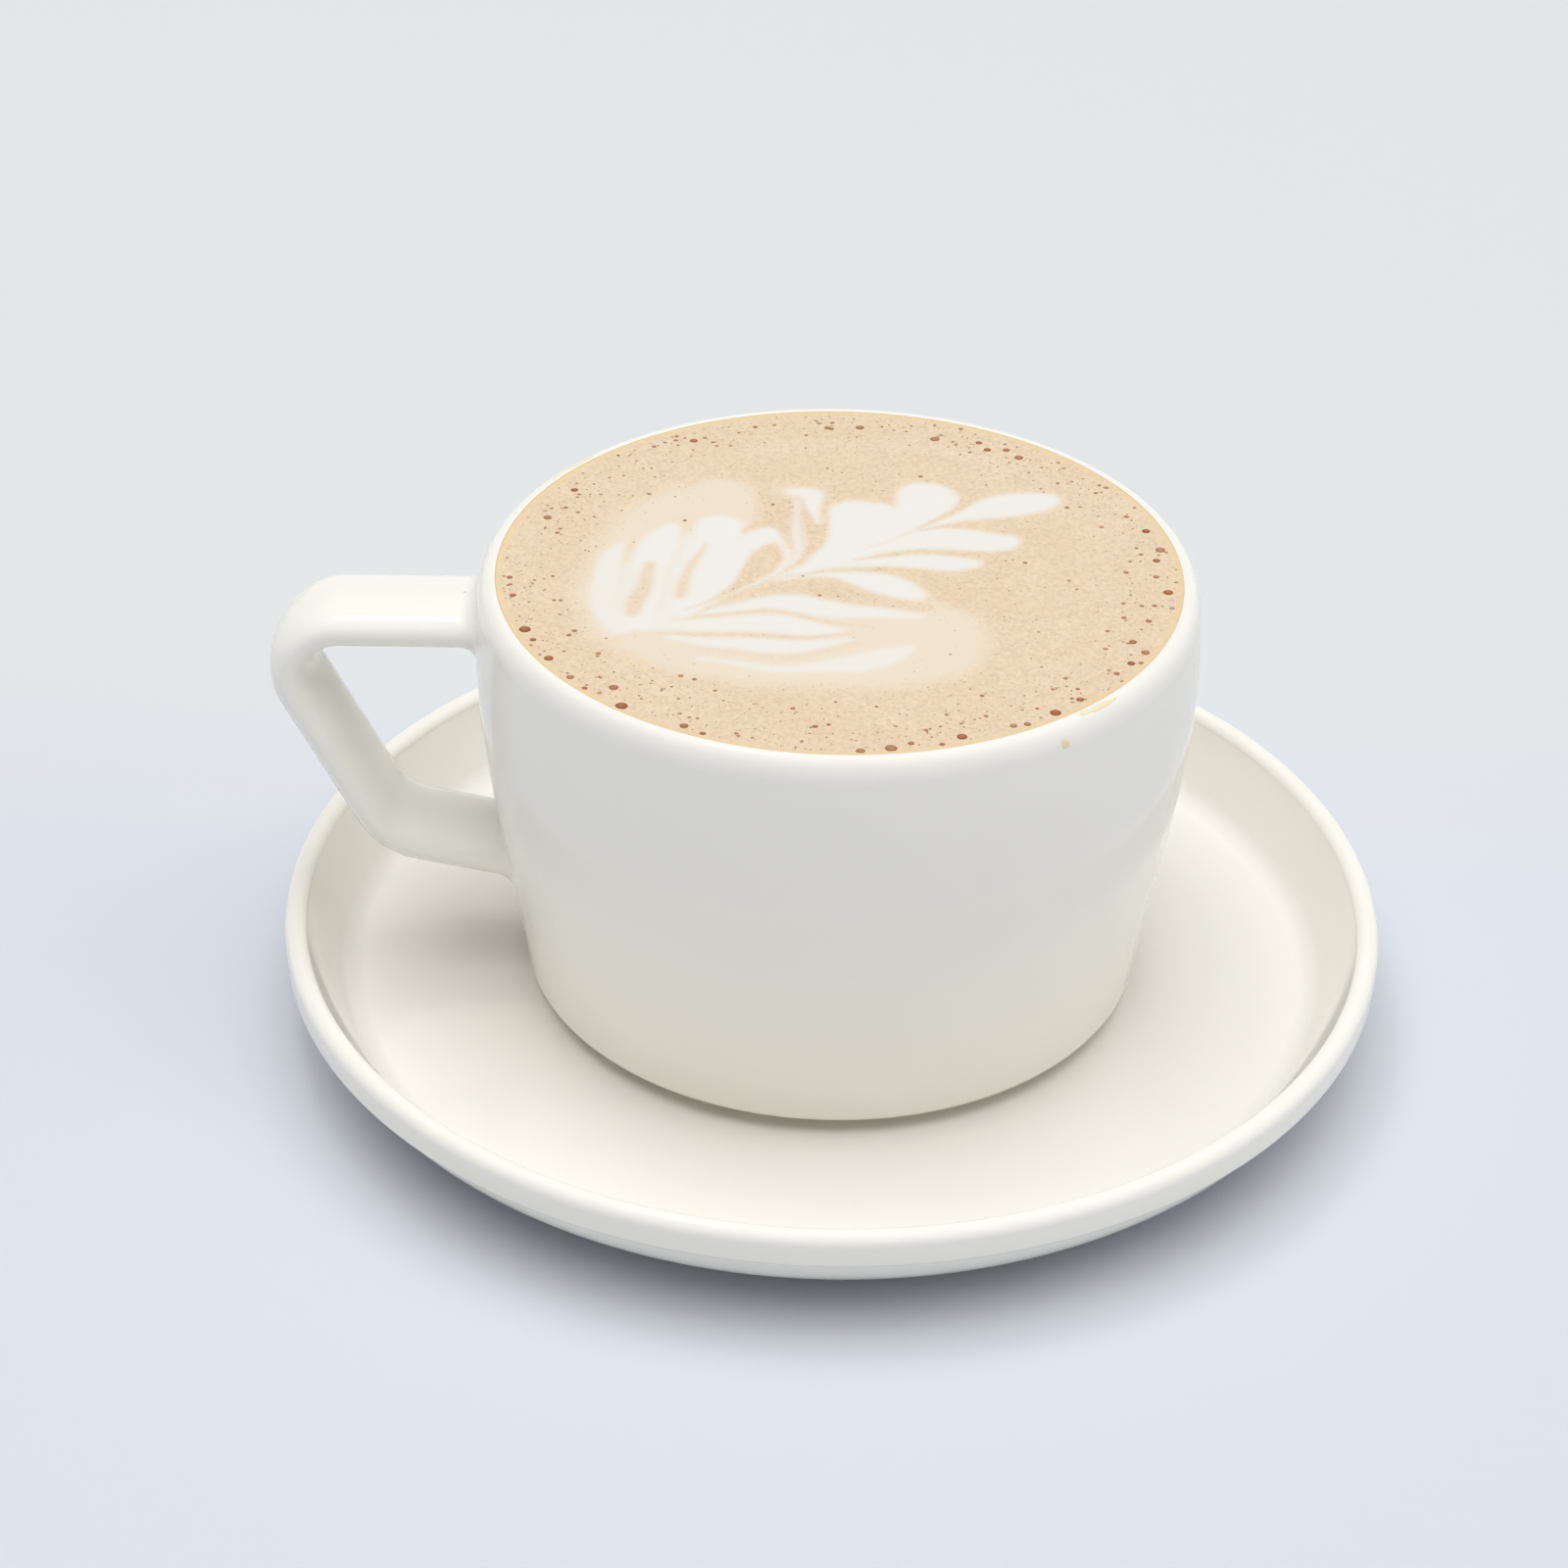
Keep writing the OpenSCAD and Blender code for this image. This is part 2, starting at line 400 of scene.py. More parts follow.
def make_bubble_film():
    """An open bubble in the crema: a wet brown hollow, with painted shade darkening it from the paler
    middle out to the rim.
    """
    material, tree = new_material("wet_coffee_bubble")
    middle = add(tree, "ShaderNodeAttribute", attribute_name="from_middle").outputs["Fac"]
    tone = add(tree, "ShaderNodeAttribute", attribute_name="tone").outputs["Fac"]
    inside = add(
        tree, "ShaderNodeMix", {0: tone, 6: linear("A96E48"), 7: linear("CDA983")}, data_type="RGBA"
    )
    # painted shade: the rim colour is darker than the middle, standing in for the shade round the edge of
    # the hollow
    rim = add(
        tree, "ShaderNodeMix", {0: tone, 6: linear("8A4B2A"), 7: linear("BF9068")}, data_type="RGBA"
    )
    ring = add(tree, "ShaderNodeMapRange", {0: middle, 1: 0.35, 2: 0.85})
    colour = add(
        tree,
        "ShaderNodeMix",
        {0: ring.outputs[0], 6: inside.outputs[2], 7: rim.outputs[2]},
        data_type="RGBA",
    )
    shader = add(
        tree,
        "ShaderNodeBsdfPrincipled",
        {"Base Color": colour.outputs[2], "Roughness": 0.3, "IOR": 1.34},
    )
    finish_material(tree, shader)
    return material


def make_drip():
    """Milk foam and coffee dried to a thin film on the glaze."""
    material, tree = new_material("dried_milk_and_coffee")
    place = add(tree, "ShaderNodeTexCoord").outputs["Object"]
    patch = add(tree, "ShaderNodeTexNoise", {"Vector": place, "Scale": 1 / (1.2 * MM), "Detail": 2.0})
    colour = add(
        tree,
        "ShaderNodeMix",
        {0: patch.outputs[0], 6: linear("EAD9AE"), 7: linear("F6EBD0")},
        data_type="RGBA",
    )
    shader = add(
        tree,
        "ShaderNodeBsdfPrincipled",
        {"Base Color": colour.outputs[2], "Roughness": 0.4, "IOR": 1.4},
    )
    finish_material(tree, shader)
    return material


GLAZE = make_glaze()
BARE_CLAY = make_bare_clay()
LATTE = make_latte()
BUBBLE = make_bubble_film()
DRIP = make_drip()

# ---- the turned pieces: saucer and cup body ------------------------------------


def foot(ring, stand_z, under_z):
    """Section of a foot ring, from the axis side down, round and up to the outside."""
    middle, width = ring
    half, edge = width / 2, width / 6
    inner, outer = middle - half, middle + half
    return (
        [(inner - FOOT_FLARE, under_z), (inner - FOOT_EASE, under_z - FOOT_EASE)]
        + arc((inner + edge, stand_z + edge), edge, 180, 270, 6)
        + arc((outer - edge, stand_z + edge), edge, 270, 360, 6)
        + [(outer + FOOT_EASE, under_z - FOOT_EASE), (outer + FOOT_FLARE, under_z)]
    )


def saucer_section():
    """From the middle of the underside round the lip to the middle of the floor."""
    under_r = SAUCER_R - LIP_STEP
    lip_low, edge = LIP_TOP - LIP_H, LIP_W / 2
    belly = (under_r - BELLY_R, UNDER_Z + BELLY_R)
    meet = -math.degrees(math.asin((belly[1] - lip_low) / BELLY_R))
    wall_foot, wall_top = (SAUCER_R - WALL_IN, FLOOR_Z), (SAUCER_R - LIP_W, LIP_TOP - edge)
    slope = math.degrees(heading(wall_foot, wall_top))
    corner = (wall_foot[0] - CORNER_R * math.tan(math.radians(slope / 2)), FLOOR_Z + CORNER_R)
    return (
        [(r, UNDER_Z) for r in UNDER_ROWS]
        + foot(SAUCER_FOOT, 0, UNDER_Z)
        + [(FLOOR_ROWS[0], UNDER_Z)]
        + arc(belly, BELLY_R, -90, meet, 28)
        + [(SAUCER_R - LIP_ROUND - 0.3, lip_low)]
        + arc((SAUCER_R - LIP_ROUND, lip_low + LIP_ROUND), LIP_ROUND, -90, 0, 8)
        + arc((SAUCER_R - edge, LIP_TOP - edge), edge, 0, 180, 24)
        + arc(corner, CORNER_R, slope - 90, -90, 14)
        + [(r, FLOOR_Z) for r in FLOOR_ROWS]
    )


def body_r(z):
    """The cup's outer radius at a height: leaning out from the base, upright at the
    widest place, drawn in to the mouth."""
    h = BELLY_Z - BASE_Z
    t = max(0.0, (z - BASE_Z) / h)
    if z < BELLY_Z:
        return (
            (CUP_R - BASE_IN) * (2 * t**3 - 3 * t**2 + 1)
            + BASE_LEAN * h * (t**3 - 2 * t**2 + t)
            + CUP_R * (3 * t**2 - 2 * t**3)
        )
    return CUP_R - MOUTH_IN * ((z - BELLY_Z) / (TIP_Z - BELLY_Z)) ** 2


def inner_side(top, gap=0.0, rows=40):
    """The cup's inside from a height down to its bottom, drawn in by a gap."""
    turn = WELL_Z + WELL_R
    centre = (body_r(turn) - CUP_WALL - WELL_R, turn)
    heights = np.linspace(top, turn, rows)
    return [(body_r(z) - CUP_WALL - gap, z) for z in heights[:-1]] + arc(
        centre, WELL_R - gap, 0, -90, 16
    )


def rim_section():
    """Over the rim: a long round on the outside, where the glaze ran off, and a tight one
    on the inside."""
    outer, inner = body_r(RIM_Z - RUN_OFF), MOUTH_R - CUP_WALL
    turns = np.radians(np.linspace(0, 90, RIM_TURNS))
    outside = [
        (CREST_R + (outer - CREST_R) * math.cos(t), RIM_Z - RUN_OFF * (1 - math.sin(t)))
        for t in turns
    ]
    inside = [
        (CREST_R - (CREST_R - inner) * math.cos(t), RIM_Z - TIP_R * (1 - math.sin(t)))
        for t in turns[::-1]
    ]
    return outside + inside[1:]


def cup_section():
    """From the middle of the underside up the wall, over the rim and down inside."""
    base = BASE_Z + BASE_R
    heights = np.linspace(base, RIM_Z - RUN_OFF, 60)
    return (
        [(0, BASE_Z), (CUP_ROW, BASE_Z)]
        + foot(CUP_FOOT, FLOOR_Z, BASE_Z)
        + arc((body_r(base) - BASE_R, base), BASE_R, -90, 0, 12)
        + [(body_r(z), z) for z in heights[1:-1]]
        + rim_section()
        + inner_side(TIP_Z)[1:]
        + [(CUP_ROW, WELL_Z), (0, WELL_Z)]
    )


def turning_tree():
    """Turns a section, given as a line of points, once round the upright axis."""
    tree = bpy.data.node_groups.new("turned_on_the_axis", "GeometryNodeTree")
    side = tree.interface.new_socket
    side("Section", in_out="INPUT", socket_type="NodeSocketGeometry")
    side("Steps round", in_out="INPUT", socket_type="NodeSocketInt")
    side("Bare below", in_out="INPUT", socket_type="NodeSocketFloat")
    side("Glaze", in_out="INPUT", socket_type="NodeSocketMaterial")
    side("Bare clay", in_out="INPUT", socket_type="NodeSocketMaterial")
    side("Turned", in_out="OUTPUT", socket_type="NodeSocketGeometry")
    given = add(tree, "NodeGroupInput").outputs
    rows = add(
        tree, "GeometryNodeAttributeDomainSize", {0: given["Section"]}, component="MESH"
    ).outputs["Point Count"]
    columns = add(tree, "ShaderNodeMath", {0: given["Steps round"], 1: 1.0}, operation="ADD")
    sheet = add(
        tree,
        "GeometryNodeMeshGrid",
        {"Size X": 1.0, "Size Y": 1.0, "Vertices X": columns.outputs[0], "Vertices Y": rows},
    )
    at = add(tree, "ShaderNodeSeparateXYZ", {0: add(tree, "GeometryNodeInputPosition").outputs[0]})
    turn = add(
        tree,
        "ShaderNodeMath",
        {0: at.outputs["X"], 1: 2 * math.pi, 2: math.pi},
        operation="MULTIPLY_ADD",
    )
    along = add(tree, "ShaderNodeMath", {0: at.outputs["Y"], 1: 0.5}, operation="ADD")
    last = add(tree, "ShaderNodeMath", {0: rows, 1: 1.0}, operation="SUBTRACT")
    row = add(
        tree, "ShaderNodeMath", {0: along.outputs[0], 1: last.outputs[0]}, operation="MULTIPLY"
    )
    whole = add(tree, "ShaderNodeMath", {0: row.outputs[0]}, operation="ROUND")
    sample = add(
        tree,
        "GeometryNodeSampleIndex",
        {
            "Geometry": given["Section"],
            "Value": add(tree, "GeometryNodeInputPosition").outputs[0],
            "Index": whole.outputs[0],
        },
        data_type="FLOAT_VECTOR",
        domain="POINT",
    )
    placed = add(
        tree,
        "ShaderNodeVectorRotate",
        {"Vector": sample.outputs[0], "Angle": turn.outputs[0]},
        rotation_type="Z_AXIS",
    )
    moved = add(
        tree, "GeometryNodeSetPosition", {"Geometry": sheet.outputs[0], "Position": placed.outputs[0]}
    )
    closed = add(
        tree, "GeometryNodeMergeByDistance", {"Geometry": moved.outputs[0], "Distance": 0.001 * MM}
    )
    real = add(tree, "GeometryNodeRealizeInstances", {"Geometry": closed.outputs[0]})
    smooth = add(tree, "GeometryNodeSetShadeSmooth", {"Geometry": real.outputs[0]})
    glazed = add(
        tree, "GeometryNodeSetMaterial", {"Geometry": smooth.outputs[0], "Material": given["Glaze"]}
    )
    height = add(
        tree, "ShaderNodeSeparateXYZ", {0: add(tree, "GeometryNodeInputPosition").outputs[0]}
    )
    low = add(
        tree,
        "FunctionNodeCompare",
        {0: height.outputs["Z"], 1: given["Bare below"]},
        operation="LESS_THAN",
    )
    wiped = add(
        tree,
        "GeometryNodeSetMaterial",
        {
            "Geometry": glazed.outputs[0],
            "Selection": low.outputs[0],
            "Material": given["Bare clay"],
        },
    )
    add(tree, "NodeGroupOutput", {"Turned": wiped.outputs[0]})
    return tree


def run_tree(tree, source, **values):
    """Runs a tree on a mesh with its named inputs and gives the result as a plain mesh."""
    holder = bpy.data.objects.new(source.name, source)
    scene.collection.objects.link(holder)
    modifier = holder.modifiers.new(tree.name, "NODES")
    modifier.node_group = tree
    for socket in tree.interface.items_tree:
        if socket.in_out == "INPUT" and socket.name in values:
            modifier[socket.identifier] = values[socket.name]
    seen = holder.evaluated_get(bpy.context.evaluated_depsgraph_get())
    mesh = bpy.data.meshes.new_from_object(seen)
    bpy.data.objects.remove(holder)
    return mesh


TURNING = turning_tree()


def turned(name, section, bare_below):
    """A closed mesh turned from a section, bare clay below a height and glazed above it."""
    line = bpy.data.meshes.new(name)
    line.from_pydata([(r * MM, 0, z * MM) for r, z in section], [], [])
    inputs = {"Steps round": STEPS_ROUND, "Bare below": bare_below * MM}
    mesh = run_tree(TURNING, line, **inputs, Glaze=GLAZE, **{"Bare clay": BARE_CLAY})
    face_outwards(mesh)
    return mesh


# ---- the handle ----------------------------------------------------------------
# It is drawn flat, as distance out from the axis and height, and then turned to -X.


def power(value, exponent):
    """A power that keeps the sign."""
    return np.sign(value) * np.abs(value) ** exponent


def bar_section(grown=0.0):
    """Points of the bar's section, an ellipse with fuller corners."""
    a = np.linspace(0, 2 * math.pi, SIDES, endpoint=False)
    across = BAR_W / 2 * power(np.cos(a), 2 / BAR_FULL) + grown * np.cos(a)
    thick = BAR_T / 2 * power(np.sin(a), 2 / BAR_FULL) + grown * np.sin(a)
    return np.stack([across, thick], 1)


def bend(p, q, s, radius, count):
    """Stations round corner q on the way p - q - s, each with its place and heading."""
    a, b = heading(p, q), heading(q, s)
    start = q - direction(a) * radius * math.tan((a - b) / 2)
    centre = start + radius * direction(a - math.pi / 2)
    return [(centre + radius * direction(c + math.pi / 2), c) for c in np.linspace(a, b, count)]


def ring(place, angle):
    """Ring of the plain bar at a place on its way."""
    points = []
    for across, thick in bar_section():
        out, up = place + thick * direction(angle + math.pi / 2)
        points.append((-out, across, up))
    return points


def wall_ring(place, angle, distance, grown):
    """Ring that keeps a distance from the cup's wall, where the bar meets it."""
    points = []
    for across, thick in bar_section(grown):
        out, up = place + thick * direction(angle + math.pi / 2)
        run = 0.0
        for _ in range(3):
            reach = math.sqrt((body_r(up + run * math.sin(angle)) + distance) ** 2 - across**2)
            run = (reach - out) / math.cos(angle)
        points.append((-out - run * math.cos(angle), across, up + run * math.sin(angle)))
    return points


def root_rings(place, angle):
    """The fillet at the wall, from inside the wall out to the plain bar."""
    deep, shallow = ROOT_SUNK
    rings = [
        wall_ring(place, angle, -deep, ROOT_R),
        wall_ring(place, angle, -shallow, ROOT_R + ROOT_FLARE),
    ]
    for turn in np.radians(np.linspace(4, 90, 12)):
        away = ROOT_R * (1 - math.cos(turn))
        rings.append(wall_ring(place, angle, away, ROOT_R * (1 - math.sin(turn))))
    return rings


def handle_parts():
    """Points and faces of the swept handle, closed at both ends inside the wall."""
    p = np.array([CUP_R, RIM_Z - TOP_DROP])
    q = np.array([CUP_R + REACH, p[1] - TOP_FALL])
    s = np.array([CUP_R + HEEL_REACH, FLOOR_Z + HEEL_H])
    low = s[1] - HEEL_FALL
    e = np.array([body_r(low), low])
    rings = root_rings(p, heading(p, q))
    rings += [ring(*station) for station in bend(p, q, s, TOP_BEND, 26)]
    rings += [ring(*station) for station in bend(q, s, e, HEEL_BEND, 16)]
    rings += root_rings(e, heading(s, e))[::-1]
    points = [point for one in rings for point in one]
    points += [np.mean(rings[0], axis=0), np.mean(rings[-1], axis=0)]
    faces = []
    for i in range(len(rings) - 1):
        for j in range(SIDES):
            a, b = i * SIDES + j, i * SIDES + (j + 1) % SIDES
            faces.append((a, b, b + SIDES, a + SIDES))
    first, last = len(points) - 2, len(points) - 1
    end = (len(rings) - 1) * SIDES
    for j in range(SIDES):
        faces.append(((j + 1) % SIDES, j, first))
        faces.append((end + j, end + (j + 1) % SIDES, last))
    return points, faces


def join_meshes(name, *meshes):
    """Several meshes with the same materials as one."""
    holders = [bpy.data.objects.new(name, mesh) for mesh in meshes]
    for holder in holders:
        scene.collection.objects.link(holder)
    with bpy.context.temp_override(active_object=holders[0], selected_editable_objects=holders):
        bpy.ops.object.join()
    mesh = holders[0].data
    bpy.data.objects.remove(holders[0])
    return mesh


saucer_mesh = turned("saucer_glazed", saucer_section(), BARE_H)
new_piece("saucer_glazed", saucer_mesh, "saucer")

handle_mesh = mesh_from("handle", *handle_parts(), GLAZE)
face_outwards(handle_mesh)
cup_mesh = join_meshes(
    "cup_glazed", turned("cup_glazed", cup_section(), FLOOR_Z + BARE_H), handle_mesh
)
new_piece("cup_glazed", cup_mesh, "cup")

# ---- the drink -----------------------------------------------------------------
# The surface is a fine disc. Each point of it is coloured by how the milk was poured:
# red holds the white foam, green the pale halo and blue the creamy edge at the wall.

inner_rim = np.array(rim_section()[: RIM_TURNS - 1 : -1])
DISC_R = float(np.interp(FILL_Z + MENISCUS, inner_rim[:, 1], inner_rim[:, 0])) + EDGE_IN

# widths of the soft edges of the foam, of its creamy fringe and of the cream at the wall
FOAM_EDGE = 1.7
FRINGE_EDGE = 3.6
CREAM_W = 1.5
CREAM_EDGE = 1.4
# how strong the fringe and the cream are, how much a vein takes from the halo,
# and how far the drink's slow swirls move an edge
FRINGE = 0.5
CREAM = 0.85
VEIN_TAKES = 0.8
SWAY = 0.18


def disc(rings, radius):
    """A flat disc of even triangles, with six more points in each ring."""
    points, faces, start = [(0.0, 0.0)], [], [0]
    for k in range(1, rings + 1):
        start.append(len(points))
        turns = np.linspace(0, 2 * math.pi, 6 * k, endpoint=False)
        points += [(radius * k / rings * math.cos(t), radius * k / rings * math.sin(t)) for t in turns]
    for k in range(1, rings + 1):
        outer, inner = 6 * k, max(1, 6 * (k - 1))
        for sixth in range(6):
            for j in range(k):
                a = start[k] + (sixth * k + j) % outer
                b = start[k] + (sixth * k + j + 1) % outer
                c = start[k - 1] + (sixth * (k - 1) + j) % inner
                faces.append((a, b, c))
                if j < k - 1:
                    d = start[k - 1] + (sixth * (k - 1) + j + 1) % inner
                    faces.append((c, b, d))
    return np.array(points), faces


def smooth_path(points, steps=6):
    """A smooth curve through points of place and width."""
    p = np.array(points, float)
    p = np.vstack([2 * p[0] - p[1], p, 2 * p[-1] - p[-2]])
    made = []
    for a, b, c, d in zip(p[:-3], p[1:-2], p[2:-1], p[3:]):
        for t in np.linspace(0, 1, steps, endpoint=False):
            first, second = c - a, 2 * a - 5 * b + 4 * c - d
            third = 3 * b - a - 3 * c + d
            made.append(0.5 * (2 * b + first * t + second * t**2 + third * t**3))
    made.append(p[-2])
    return np.array(made)


def cover(places, points, soft):
    """How far each place is covered by a stroke, from 0 to 1, with an edge soft mm wide."""
    path = smooth_path(points)
    covered = np.zeros(len(places))
    reach = path[:, 2].max() + soft
    low, high = path[:, :2].min(0) - reach, path[:, :2].max(0) + reach
    near = np.all((places > low) & (places < high), axis=1)
    here = places[near]
    inside = np.full(len(here), -1e9)
    for a, b in zip(path[:-1], path[1:]):
        step = b[:2] - a[:2]
        t = np.clip((here - a[:2]) @ step / max(step @ step, 1e-9), 0, 1)
        away = np.linalg.norm(here - a[:2] - t[:, None] * step, axis=1)
        inside = np.maximum(inside, a[2] + (b[2] - a[2]) * t - away)
    covered[near] = smoothstep(inside / soft + 0.5)
    return covered


# The pour, in millimetres from the cup's middle. Each stroke runs through points of
# (right, back, half width). FOAM is white milk and VEINS the crema drawn back over it.
HALO = [
    (0.9, 5.0, [(-25, -8, 9.0), (-23.5, 2, 9.0), (-22.5, 10, 8.0), (-20, 16, 6.3)]),
    (0.9, 3.0, [(-18.5, 9, 7.0), (-17.6, 15, 6.0), (-16.4, 19.7, 4.6)]),
    (0.95, 4.4, [
        (-24, -14, 8.5), (-14, -18, 10.2), (-4, -18.5, 10.8), (6, -17.6, 11.2), (8.6, -17.2, 10.8),
    ]),
    (0.5, 3.0, [(-9.5, 20.6, 1.0), (-6.5, 21.4, 1.6)]),
    # a faint arc where the first milk went in
    (0.2, 2.5, [(-14, 33, 0.8), (-4, 35.2, 1.2), (8, 35.5, 1.2), (18, 32.5, 1.0), (27, 27, 0.6)]),
]
FOAM = [
    # the left side of the leaf, folded over in four lobes
    (0.85, [
        (-27.6, -16.5, 1.6), (-29.6, -11, 1.9), (-30.2, -4, 2.0), (-29.8, 1.5, 1.6), (-29.2, 4.6, 0.8),
    ]),
    (0.9, [(-26.4, -15.5, 1.6), (-27.4, -8, 1.6), (-27, -1, 1.6)]),
    (1.0, [(-24.6, -15, 2.0), (-24.9, -7, 2.4), (-24.6, 0, 2.7), (-24.0, 5.6, 2.7), (-22.7, 9.6, 1.5)]),
    (0.9, [(-22.6, -14.5, 1.8), (-21.5, -8, 2.2), (-21, 0, 2.0), (-20.4, 7, 1.5)]),
    (1.0, [(-20, -12, 1.8), (-17.8, -6, 3.0), (-16.8, 1, 3.4), (-16.4, 7, 3.5), (-16.3, 10.9, 3.1)]),
    (1.0, [(-16.6, -7.6, 0.9), (-14.9, -3, 1.8), (-13.8, 2, 2.0), (-12.2, 6, 2.2), (-9.8, 8.9, 2.0)]),
    (0.85, [
        (-15.4, -8.4, 0.4), (-11.8, -4.6, 0.6), (-8.4, -0.6, 0.7), (-7.0, 2.8, 0.7), (-7.1, 6, 0.8),
        (-8.3, 8.6, 1.2),
    ]),
    # the hook, and the thin ribbon beside it
    (0.95, [(-7.0, 21.0, 0.9), (-4.2, 20.6, 1.6), (-4.0, 18, 1.2), (-3.8, 15.4, 0.7), (-3.5, 13, 0.4)]),
    (0.75, [
        (-6.1, 18.6, 0.5), (-6.4, 15, 0.5), (-6.2, 11, 0.7), (-5.5, 7.5, 0.85), (-5.4, 4.5, 0.75),
        (-6.6, 1.2, 0.6),
    ]),
    # the big lobe and the heart beside it
    (1.0, [(-3.2, 1.6, 1.4), (-0.2, 6, 2.2), (1.2, 10.5, 3.2), (1.7, 15.6, 3.7)]),
    (1.0, [(3.2, 7, 1.8), (4.6, 11, 2.7), (5.0, 15.4, 3.1)]),
    (1.0, [(7.2, 11.5, 2.0), (9.2, 15, 2.9), (10.6, 18.2, 3.7), (11.2, 20.7, 4.3)]),
    (1.0, [(-6, -0.8, 0.8), (-3, 1.2, 1.4), (1, 4.4, 2.0), (5, 8.0, 2.0), (9, 12, 1.7), (11.6, 15.2, 1.3)]),
    # the right side of the leaf, tip first
    (1.0, [
        (9.5, 11.2, 0.5), (13.8, 14.1, 0.8), (17.8, 17, 1.9), (21.6, 19.1, 2.8), (25, 20.2, 2.9),
        (27.1, 20.9, 2.1),
    ]),
    (1.0, [(-1, 3.2, 0.8), (4, 6.3, 1.5), (9, 8.6, 2.3), (13, 9.4, 2.9), (18, 9.3, 2.8), (21.6, 9.1, 2.1)]),
    (1.0, [
        (-4, 0.2, 0.6), (0.5, 1.7, 0.8), (5.5, 2.9, 1.2), (10, 3.0, 1.9), (14, 3.0, 1.9), (17.2, 3.3, 1.2),
    ]),
    (1.0, [
        (-8, -2.6, 0.4), (-4, -1.5, 0.6), (-0.5, -1.1, 0.8), (2.5, -1.6, 1.8), (5.5, -2.9, 2.6),
        (8, -4.3, 2.4), (9.9, -5.3, 1.5),
    ]),
    (1.0, [
        (-18, -12, 0.5), (-13, -10.3, 0.9), (-9, -8.8, 1.6), (-5, -8.9, 2.1), (-1, -9.8, 2.1),
        (3, -10.5, 1.6), (7, -10.8, 1.0), (10.8, -10.9, 0.4),
    ]),
    (1.0, [
        (-23, -16, 0.8), (-17, -14.9, 1.4), (-12, -14.3, 2.0), (-7, -14.3, 2.2), (-3, -14.8, 1.7),
        (0.6, -15.5, 0.6),
    ]),
    (0.95, [
        (-21, -18.4, 0.5), (-15, -19.1, 1.2), (-9.5, -19.6, 1.8), (-5, -19.4, 1.6), (-1, -18.5, 0.9),
        (1.8, -17.6, 0.3),
    ]),
    (0.9, [
        (-17, -23.2, 0.3), (-9, -25.0, 0.7), (-2.5, -24.7, 1.2), (2.6, -23.4, 1.9), (6.2, -21.3, 2.0),
        (9.0, -19.3, 1.1),
    ]),
    # the stem, drawn back through the leaf
    (0.55, [(-20.4, -13.2, 0.9), (-16.4, -9.6, 0.7), (-12.4, -5.2, 0.8), (-8.4, -1.8, 1.0), (-4, 1, 1.2)]),
]
